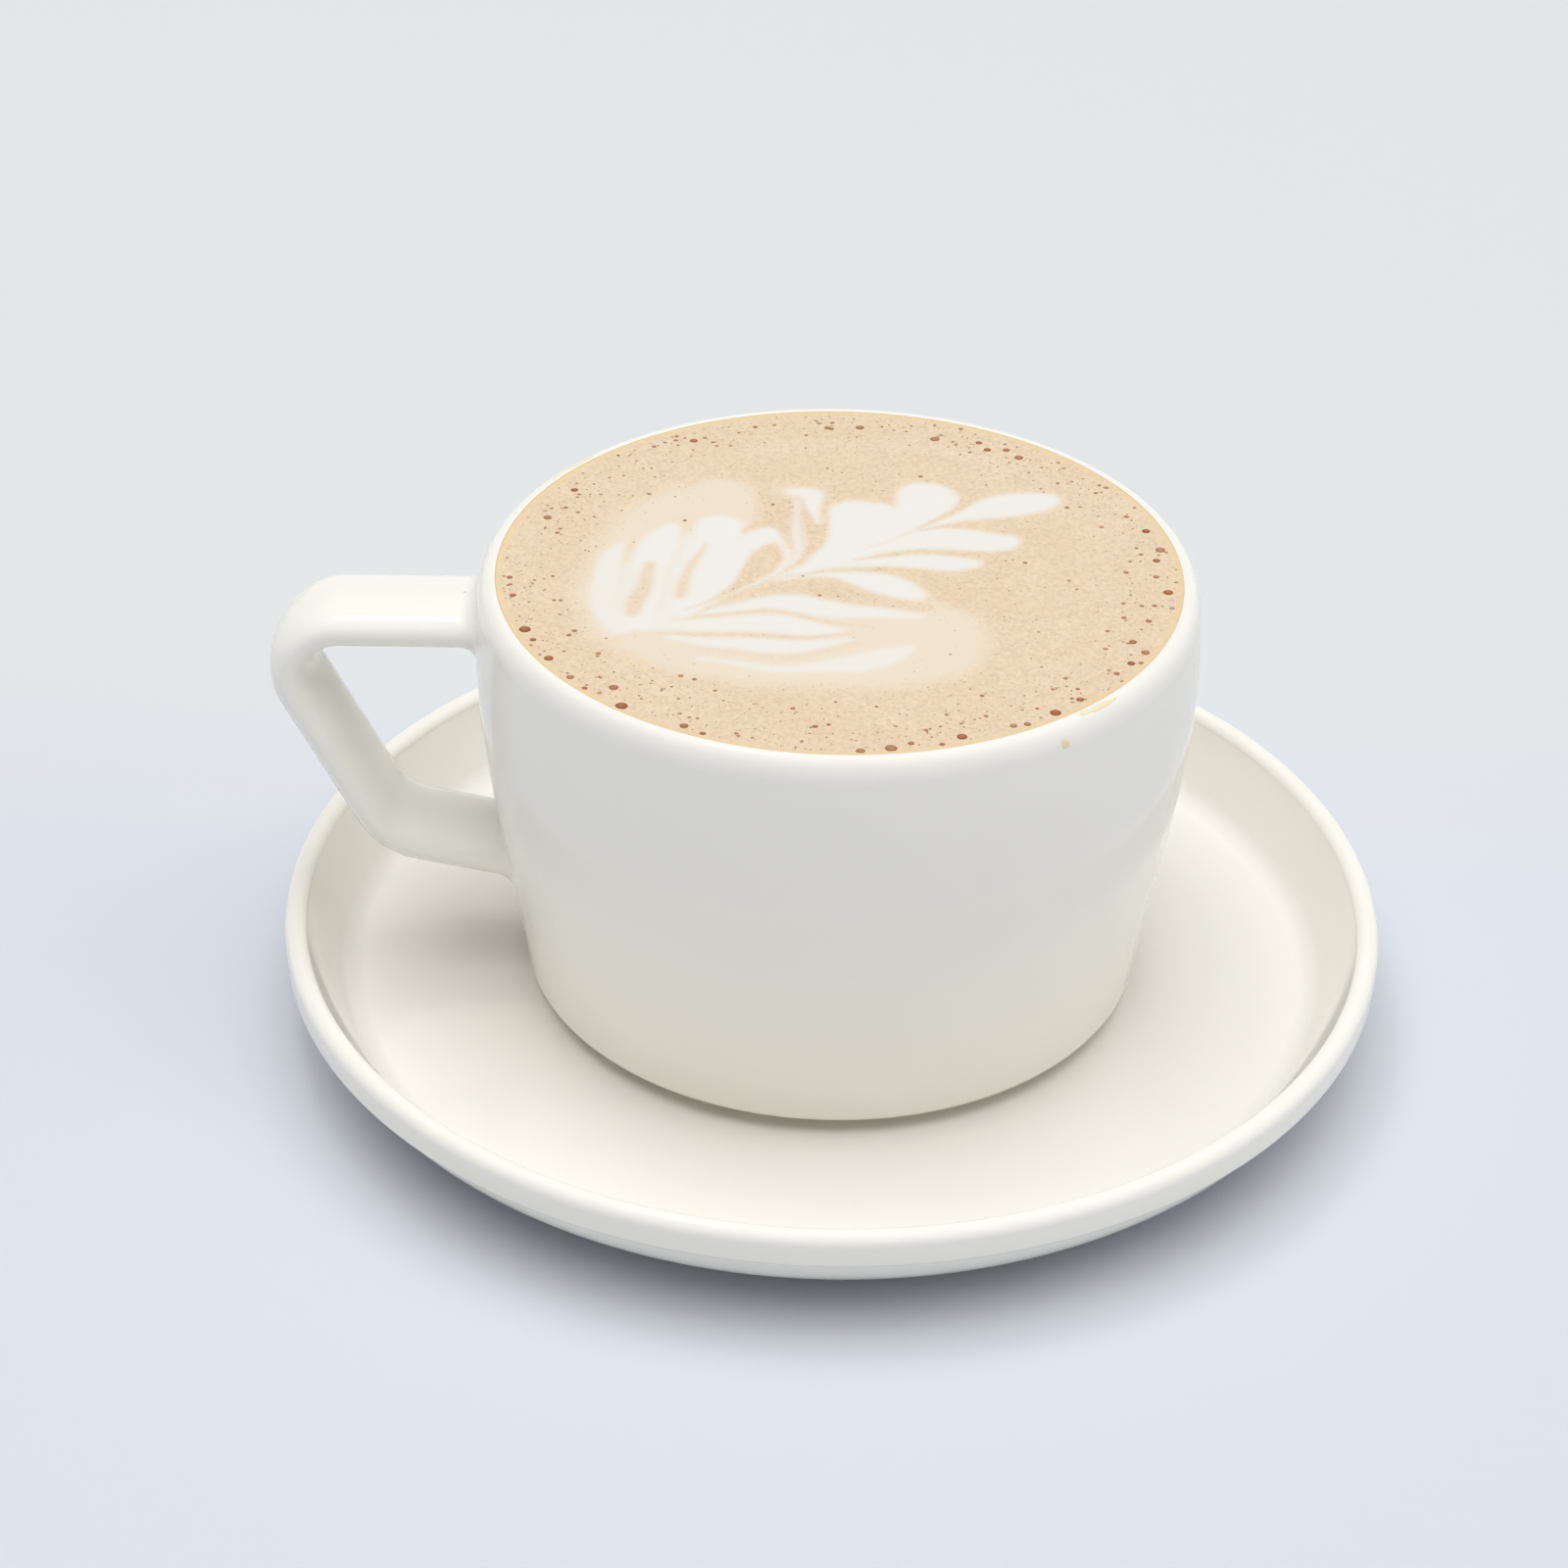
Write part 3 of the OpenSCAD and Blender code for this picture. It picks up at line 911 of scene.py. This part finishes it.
VEINS = [
    # slots in the left lobes
    (0.9, 1.5, [
        (-24.7, 0.0, 0.9), (-25.0, -2.6, 1.1), (-25.4, -6, 1.15), (-25.9, -9.4, 1.2), (-26.0, -12.4, 1.05),
    ]),
    (0.85, 1.5, [
        (-18.0, 6.0, 0.3), (-19.0, 2, 0.65), (-19.7, -2, 0.75), (-20.2, -5.4, 0.95), (-20.5, -7.8, 0.95),
    ]),
    (1.0, 1.2, [
        (-9.2, 5.2, 1.3), (-9.9, 2.8, 2.2), (-10.8, 0, 2.0), (-11.9, -2.8, 1.3), (-13.4, -5.4, 0.6),
        (-16, -8.3, 0.3), (-19.5, -11.5, 0.1),
    ]),
    # crema caught in the hook, and the lines that run down from it
    (1.0, 1.8, [
        (-9.9, 23.5, 0.6), (-10.4, 19.5, 0.7), (-8.9, 17.2, 1.6), (-8.5, 14.8, 1.7), (-8.2, 12.4, 0.8),
        (-7.4, 9.4, 0.4), (-6.7, 6.2, 0.2),
    ]),
    (0.85, 1.2, [(-9.4, 13.6, 1.0), (-11.4, 11.6, 0.7), (-13.0, 9.4, 0.2)]),
    (0.95, 1.1, [
        (-5.0, 16.4, 0.1), (-4.6, 13.8, 0.4), (-3.7, 11.2, 0.7), (-3.1, 8.4, 0.9), (-3.8, 5.4, 0.7),
        (-5.2, 2.2, 0.35), (-7.2, -0.2, 0.1),
    ]),
    (0.8, 1.2, [(-2.2, 21, 0.3), (-2.3, 17, 0.35), (-2.5, 13.4, 0.3), (-2.8, 11, 0.2)]),
    # the long dark line under the leaf, and the lines between the lower leaves
    (1.0, 1.3, [
        (-18, -12.2, 0.1), (-14.4, -8.4, 0.3), (-11.5, -6.0, 0.5), (-9, -5.0, 0.8), (-6, -4.2, 1.2),
        (-2.5, -4.3, 1.8), (0.8, -5.8, 1.9), (4.2, -7.5, 1.5), (7.5, -8.2, 1.1), (11.4, -8.5, 1.0),
    ]),
    (0.7, 1.1, [
        (-19, -13.6, 0.1), (-15.5, -12.2, 0.35), (-10.7, -11.1, 0.5), (-5.9, -11.6, 0.5),
        (-0.5, -13.3, 0.4), (4.5, -14.3, 0.2),
    ]),
    (0.75, 1.1, [
        (-22, -17.7, 0.1), (-15.5, -17.3, 0.5), (-8.7, -17.4, 0.6), (-3.2, -17.1, 0.5), (2.0, -15.9, 0.3),
    ]),
    (0.35, 1.4, [
        (-19.5, -19.8, 0.2), (-14, -21.3, 0.6), (-8.5, -22.2, 0.7), (-2.5, -21.2, 0.7), (2.6, -18.4, 0.6),
    ]),
    # the lines between the leaves on the right
    (1.0, 1.3, [
        (18, 22.4, 1.2), (16.4, 19.6, 0.7), (14.4, 16.7, 0.45), (12.4, 14.5, 0.3), (10.2, 12.2, 0.15),
    ]),
    (0.45, 0.9, [(12.4, 14.5, 0.25), (9.4, 11.4, 0.3), (6.2, 8.7, 0.25), (2.6, 5.8, 0.1)]),
    (0.9, 1.2, [(17, 13.4, 0.9), (13.4, 12.6, 0.4), (10.6, 11.6, 0.1)]),
    (0.85, 1.2, [(18.5, 6.0, 0.7), (13.5, 5.8, 0.5), (10, 5.6, 0.35), (6, 4.7, 0.15), (2.4, 3.3, 0.0)]),
    (0.9, 1.2, [
        (13.4, -0.2, 0.7), (9.6, 0.6, 0.5), (6.4, 1.1, 0.35), (2.2, 0.7, 0.15), (-2, -0.3, 0.05),
        (-6, -2.2, 0.0),
    ]),
    (0.35, 1.0, [(-3, -0.9, 0.2), (-8, -2.9, 0.3), (-12.6, -6.4, 0.3), (-17, -10.8, 0.2)]),
    # faint cream seams where the foam folded
    (0.35, 1.6, [(-27.2, 7, 0.6), (-28.0, 2, 0.6), (-28.2, -4, 0.5), (-28.2, -11, 0.4)]),
    (0.3, 1.4, [(-21.0, 12, 0.6), (-21.2, 6, 0.5), (-21.9, 0, 0.5), (-22.4, -6, 0.5), (-22.8, -11, 0.4)]),
    (0.25, 1.2, [(-26.8, 3, 0.3), (-26.9, -4, 0.4), (-27.6, -12, 0.3)]),
    # where the jug's last stream came in
    (0.75, 2.0, [(-33.6, -24.6, 1.2), (-30.4, -21.6, 0.9), (-28.2, -19.6, 0.5), (-27.0, -18.2, 0.2)]),
]


def poured(places):
    """White foam, halo and creamy edge at each place on the surface."""
    x, y = places.T
    # waves about 12 mm long, along and across the leaf
    sway = SWAY * np.stack([np.sin(0.45 * y + 0.2 * x), np.sin(0.5 * x - 0.2 * y)], 1)
    seen = places + sway
    halo, white = np.zeros(len(places)), np.zeros(len(places))
    for strength, soft, stroke in HALO:
        halo = np.maximum(halo, strength * cover(seen, stroke, soft))
    for strength, stroke in FOAM:
        white = np.maximum(white, strength * cover(seen, stroke, FOAM_EDGE))
        # a creamy fringe where the foam thins out
        halo = np.maximum(halo, FRINGE * strength * cover(seen, stroke, FRINGE_EDGE))
    for strength, soft, stroke in VEINS:
        drawn = strength * cover(seen, stroke, soft)
        white = white * (1 - drawn)
        halo = halo * (1 - VEIN_TAKES * drawn)
    out = np.linalg.norm(places, axis=1)
    cream = CREAM * smoothstep((out - (DISC_R - CREAM_W)) / CREAM_EDGE)
    return white, halo, cream


def latte_mesh():
    """The drink as one closed solid, its edge drawn up a little where it wets the rim."""
    flat, faces = disc(DISC_RINGS, DISC_R)
    white, halo, cream = poured(flat)
    out = np.linalg.norm(flat, axis=1)
    height = FILL_Z + MENISCUS * smoothstep((out - (DISC_R - MENISCUS_W)) / MENISCUS_W) ** 2
    points = np.column_stack([flat, height]).tolist()
    around = 6 * DISC_RINGS
    edge = len(points) - around
    turns = np.arctan2(flat[edge:, 1], flat[edge:, 0])
    for r, z in inner_side(TIP_Z, gap=-SIDE_IN, rows=8):
        points += [(r * math.cos(t), r * math.sin(t), z) for t in turns]
    points.append((0, 0, WELL_Z))
    for start in range(edge, len(points) - 1 - around, around):
        for j in range(around):
            a, b = start + j, start + (j + 1) % around
            faces.append((a, a + around, b + around, b))
    last = len(points) - 1 - around
    for j in range(around):
        faces.append((last + j, len(points) - 1, last + (j + 1) % around))
    mesh = mesh_from("latte_surface", points, faces, LATTE)
    face_outwards(mesh)
    colours = np.zeros((len(points), 4), np.float32)
    colours[:, 3] = 1
    colours[: len(flat), 0] = white
    colours[: len(flat), 1] = halo
    colours[: len(flat), 2] = cream
    pour = mesh.attributes.new("pour", "FLOAT_COLOR", "POINT")
    pour.data.foreach_set("color", colours.ravel())
    return mesh


new_piece("latte_surface", latte_mesh(), "latte")

# ---- open bubbles ----------------------------------------------------------------


def dome_tree():
    """A squat ball on every point of a mesh, half sunk, so that a low dome shows."""
    tree = bpy.data.node_groups.new("domes_on_points", "GeometryNodeTree")
    side = tree.interface.new_socket
    side("Points", in_out="INPUT", socket_type="NodeSocketGeometry")
    side("Roundness", in_out="INPUT", socket_type="NodeSocketInt")
    side("Height share", in_out="INPUT", socket_type="NodeSocketFloat")
    side("Film", in_out="INPUT", socket_type="NodeSocketMaterial")
    side("Domes", in_out="OUTPUT", socket_type="NodeSocketGeometry")
    given = add(tree, "NodeGroupInput").outputs
    ball = add(
        tree, "GeometryNodeMeshIcoSphere", {"Radius": 1.0, "Subdivisions": given["Roundness"]}
    )
    at = add(tree, "GeometryNodeInputPosition").outputs[0]
    flat = add(
        tree, "ShaderNodeVectorMath", {0: at, 1: (1.0, 1.0, 0.0)}, operation="MULTIPLY"
    )
    middle = add(tree, "ShaderNodeVectorMath", {0: flat.outputs[0]}, operation="LENGTH")
    marked = add(
        tree,
        "GeometryNodeStoreNamedAttribute",
        {"Geometry": ball.outputs[0], "Name": "from_middle", "Value": middle.outputs["Value"]},
        data_type="FLOAT",
        domain="POINT",
    )
    squat = add(tree, "ShaderNodeCombineXYZ", {0: 1.0, 1: 1.0, 2: given["Height share"]})
    dome = add(
        tree, "GeometryNodeTransform", {"Geometry": marked.outputs[0], "Scale": squat.outputs[0]}
    )
    size = add(
        tree, "GeometryNodeInputNamedAttribute", {"Name": "size"}, data_type="FLOAT"
    )
    placed = add(
        tree,
        "GeometryNodeInstanceOnPoints",
        {
            "Points": given["Points"],
            "Instance": dome.outputs[0],
            "Scale": size.outputs[0],
        },
    )
    real = add(tree, "GeometryNodeRealizeInstances", {"Geometry": placed.outputs[0]})
    smooth = add(tree, "GeometryNodeSetShadeSmooth", {"Geometry": real.outputs[0]})
    filmed = add(
        tree, "GeometryNodeSetMaterial", {"Geometry": smooth.outputs[0], "Material": given["Film"]}
    )
    add(tree, "NodeGroupOutput", {"Domes": filmed.outputs[0]})
    return tree


DOMES = dome_tree()
DOME_SHARE = 0.16
# The small ones lie thickest in a ring this far in from the wall and this wide.
FROTH_IN = 3.0
FROTH_W = 5.0
WALL_CLEAR = 0.5
# Places tried for each one wanted, the share of them kept, and how much the halo thins them
TRIES_EACH = 14
KEPT = 0.5
HALO_THINS = 0.85

# The bubbles large enough to be told apart, as (right, back, radius)
LARGE_BUBBLES = [
    (-39.5, -17.6, 0.75), (-35.8, -24.5, 0.6), (-32.7, -28.9, 0.5), (-27.1, -31.0, 0.6),
    (-25.8, -35.3, 0.8), (-17.8, -39.4, 0.55), (-30.7, -31.4, 0.4), (-38.2, -20.1, 0.4),
    (-39.4, 11.8, 0.55), (-36.5, 19.7, 0.5), (-41.9, -9.1, 0.45), (-42.8, -4.5, 0.4),
    (-21.3, 35.0, 0.55), (-2.9, 40.1, 0.45), (1.6, 40.5, 0.6), (12.1, 37.8, 0.65),
    (19.4, 35.1, 0.5), (22.0, 35.2, 0.5), (23.7, 33.1, 0.6), (18.2, 37.1, 0.45),
    (40.5, 13.4, 0.55), (42.2, 8.4, 0.65), (41.6, 5.5, 0.5), (42.8, -2.8, 0.65),
    (41.4, 1.2, 0.4), (40.0, -10.3, 0.4), (37.8, -15.7, 0.5), (39.3, -18.2, 0.55),
    (37.4, -21.0, 0.5), (35.5, -23.6, 0.4), (30.8, -30.1, 0.5), (27.7, -33.4, 0.7),
    (24.2, -36.3, 0.45), (22.5, -36.8, 0.45), (16.2, -39.7, 0.65), (10.0, -41.6, 0.4),
    (13.8, -41.6, 0.35), (7.6, -42.9, 0.75), (3.9, -43.8, 0.6), (-15.4, -41.0, 0.4),
]


def scatter(count, smallest, largest, near_wall, seed):
    """Seeded places in the crema, denser towards the wall and never in white foam."""
    chance = np.random.default_rng(seed)
    tries = chance.uniform(-DISC_R, DISC_R, (count * TRIES_EACH, 2))
    out = np.linalg.norm(tries, axis=1)
    white, halo, _ = poured(tries)
    wanted = near_wall + (1 - near_wall) * np.exp(-(((DISC_R - out - FROTH_IN) / FROTH_W) ** 2))
    wanted *= (1 - white) ** 3 * (1 - HALO_THINS * halo)
    keep = (out < DISC_R - WALL_CLEAR) & (chance.uniform(0, 1, len(out)) < wanted * KEPT)
    places = tries[keep][:count]
    sizes = smallest + (largest - smallest) * chance.uniform(0, 1, len(places)) ** 3
    return [(x, y, r) for (x, y), r in zip(places, sizes)]


def bubbles(name, spots, roundness, tones, seed):
    """One piece of domes at the spots, each in a tone of brown between the two given."""
    chance = np.random.default_rng(seed)
    points = bpy.data.meshes.new(name)
    points.from_pydata([(x * MM, y * MM, FILL_Z * MM) for x, y, _ in spots], [], [])
    sizes = points.attributes.new("size", "FLOAT", "POINT")
    sizes.data.foreach_set("value", [r * MM for _, _, r in spots])
    shades = points.attributes.new("tone", "FLOAT", "POINT")
    shades.data.foreach_set("value", chance.uniform(*tones, len(spots)))
    mesh = run_tree(
        DOMES, points, **{"Roundness": roundness, "Height share": DOME_SHARE, "Film": BUBBLE}
    )
    new_piece(name, mesh)


bubbles("bubbles_large", LARGE_BUBBLES, 4, (0.0, 0.5), 3)
bubbles("bubbles_small", scatter(420, 0.14, 0.38, 0.12, 11), 2, (0.2, 0.8), 5)
bubbles("bubbles_fine", scatter(3600, 0.05, 0.13, 0.35, 23), 1, (0.4, 1.0), 7)

# ---- dried drips on the rim --------------------------------------------------------


# The cup's skin from 12 mm below the rim, over it and down inside, and the way run along it
SKIN = [(body_r(z), z) for z in np.linspace(RIM_Z - 12, RIM_Z - RUN_OFF, 12)] + rim_section()[1:]
SKIN_R, SKIN_Z = np.array(SKIN).T
SKIN_RUN = np.concatenate([[0], np.hypot(np.diff(SKIN_R), np.diff(SKIN_Z)).cumsum()])
CREST_RUN = SKIN_RUN[SKIN_Z.argmax()]
FILM_SUNK = 0.08


def on_rim(angle, along):
    """Place and outward normal on the cup's skin, along mm outwards from the crest."""
    spot = CREST_RUN - along
    before, after = spot - 0.1, spot + 0.1
    r, z = np.interp(spot, SKIN_RUN, SKIN_R), np.interp(spot, SKIN_RUN, SKIN_Z)
    rise = np.interp(after, SKIN_RUN, SKIN_Z) - np.interp(before, SKIN_RUN, SKIN_Z)
    draw = np.interp(after, SKIN_RUN, SKIN_R) - np.interp(before, SKIN_RUN, SKIN_R)
    length = math.hypot(rise, draw)
    around = direction(angle)
    return np.array([*(r * around), z]), np.array([*(rise / length * around), -draw / length])


def film(angle, along, length, width, lift, lean=0.0, wobble=0.0):
    """A thin lens of dried liquid on the skin, as points and faces."""
    rows, columns = 6, 28
    points, faces = [], []
    for side in (1, -1):
        for i in range(rows + 1):
            for j in range(columns):
                t = 2 * math.pi * j / columns
                share = i / rows * (1 + wobble * math.sin(3 * t + 1) + wobble * 0.6 * math.cos(5 * t))
                u, v = share * length / 2 * math.cos(t), share * width / 2 * math.sin(t)
                place, normal = on_rim(angle + (u + lean * v) / CUP_R, along + v)
                thick = lift * (1 - (i / rows) ** 2) if side > 0 else -FILM_SUNK
                point = place + normal * thick
                point[2] = min(point[2], RIM_Z)
                points.append(point)
    ring_start = (rows + 1) * columns
    for i in range(rows):
        for j in range(columns):
            a, b = i * columns + j, i * columns + (j + 1) % columns
            faces.append((a, a + columns, b + columns, b))
            a, b = a + ring_start, b + ring_start
            faces.append((a, b, b + columns, a + columns))
    for j in range(columns):
        a, b = rows * columns + j, rows * columns + (j + 1) % columns
        faces.append((a, a + ring_start, b + ring_start, b))
    return points, faces


FILMS = [
    # angle in degrees, mm out from the crest, length, width, thickness, lean, wobble
    (-52.2, 3.1, 1.3, 1.4, 0.10, 0.2, 0.05),
    (-43.0, 0.6, 4.6, 0.8, 0.04, 0.5, 0.14),
    (-46.5, 0.4, 2.4, 0.7, 0.03, 0.5, 0.12),
    (144.0, 0.1, 9.0, 0.5, 0.03, 0.2, 0.2),
    (151.0, 0.9, 3.0, 0.4, 0.02, 0.2, 0.2),
    (164.0, 0.2, 0.7, 0.6, 0.05, 0.0, 0.05),
]
film_points, film_faces = [], []
for angle, *shape in FILMS:
    points, faces = film(math.radians(angle), *shape)
    film_faces += [tuple(i + len(film_points) for i in face) for face in faces]
    film_points += points
new_piece("dried_drips", mesh_from("dried_drips", film_points, film_faces, DRIP))

# ---- floor, light and camera ---------------------------------------------------------


def make_floor():
    """A pale card floor, which fades from a cool near side to a slightly paler neutral far side: the
    cool-to-neutral change is the card's own, the paler far side is painted light.
    """
    half = 4000
    material, tree = new_material("pale_card")
    place = add(tree, "ShaderNodeTexCoord").outputs["Object"]
    depth = add(tree, "ShaderNodeSeparateXYZ", {0: place})
    # the far side is a little paler as well as more neutral: painted light, standing in for light from
    # behind
    far = add(tree, "ShaderNodeMapRange", {0: depth.outputs["Y"], 1: 30 * MM, 2: 95 * MM})
    colour = add(
        tree,
        "ShaderNodeMix",
        {0: far.outputs[0], 6: linear("D3D7DF"), 7: linear("D8DBDB")},
        data_type="RGBA",
    )
    shader = add(
        tree, "ShaderNodeBsdfPrincipled", {"Base Color": colour.outputs[2], "Roughness": 0.9}
    )
    finish_material(tree, shader)
    mesh = mesh_from(
        "floor",
        [(-half, -half, 0), (half, -half, 0), (half, half, 0), (-half, half, 0)],
        [(0, 1, 2, 3)],
        material,
    )
    floor = bpy.data.objects.new("floor", mesh)
    scene.collection.objects.link(floor)


def soft_light(name, place, width, strength):
    """A far, even light from a direction, as wide as an angle in degrees.

    It is kept out of reflections, so that only the tubes and the walls show in the glaze.
    """
    lamp = bpy.data.lights.new(name, "SUN")
    lamp.angle = math.radians(width)
    lamp.energy = strength
    holder = bpy.data.objects.new(name, lamp)
    holder.rotation_euler = (-Vector(place)).to_track_quat("-Z", "Y").to_euler()
    holder.visible_glossy = False
    scene.collection.objects.link(holder)


def tube(name, place, aim, size, watts):
    """A short tube lamp at a place in millimetres, turned to its aim."""
    lamp = bpy.data.lights.new(name, "AREA")
    lamp.shape = "RECTANGLE"
    lamp.size, lamp.size_y = size[0] * MM, size[1] * MM
    lamp.energy = watts
    holder = bpy.data.objects.new(name, lamp)
    holder.location = Vector(place) * MM
    holder.rotation_euler = (Vector(aim) - Vector(place)).to_track_quat("-Z", "Y").to_euler()
    scene.collection.objects.link(holder)


def make_world():
    """White walls round the studio: brighter at eye height than overhead."""
    world = bpy.data.worlds.new("studio")
    world.use_nodes = True
    tree = world.node_tree
    around = add(tree, "ShaderNodeTexCoord").outputs["Generated"]
    way = add(tree, "ShaderNodeSeparateXYZ", {0: around})
    strength = add(
        tree, "ShaderNodeMapRange", {0: way.outputs["Z"], 1: 0.08, 2: 0.45, 3: 0.86, 4: 0.2}
    )
    background = tree.nodes["Background"]
    background.inputs["Color"].default_value = linear("F7F8FA")
    tree.links.new(strength.outputs[0], background.inputs["Strength"])
    scene.world = world


def make_camera():
    """A long lens, as of a person sitting at the table and looking down at the cup."""
    aim = Vector((-7.3, 14.1, 24.2)) * MM
    tilt, azimuth, roll, distance = 32.91, 1.98, 0.91, 535 * MM
    turn = (
        Matrix.Rotation(math.radians(azimuth), 4, "Z")
        @ Matrix.Rotation(math.radians(90 - tilt), 4, "X")
        @ Matrix.Rotation(math.radians(roll), 4, "Z")
    )
    lens = bpy.data.cameras.new("camera")
    lens.lens = 87.75
    lens.sensor_width = 36
    lens.clip_start = 0.01
    camera = bpy.data.objects.new("camera", lens)
    camera.matrix_world = turn
    camera.location = aim + turn.col[2].to_3d() * distance
    scene.collection.objects.link(camera)
    scene.camera = camera


make_floor()
make_world()
soft_light("overhead", (0, -4, 112), 70, 2.52)
soft_light("right_side", (90, -10, 67), 40, 0.27)
tube("tube_near", (-185, 112, 905), (-70, 0, 60), (170, 16), 0.2)
tube("tube_far", (-185, 188, 895), (-70, 0, 60), (170, 16), 0.2)
scene.view_settings.view_transform = "Standard"
make_camera()
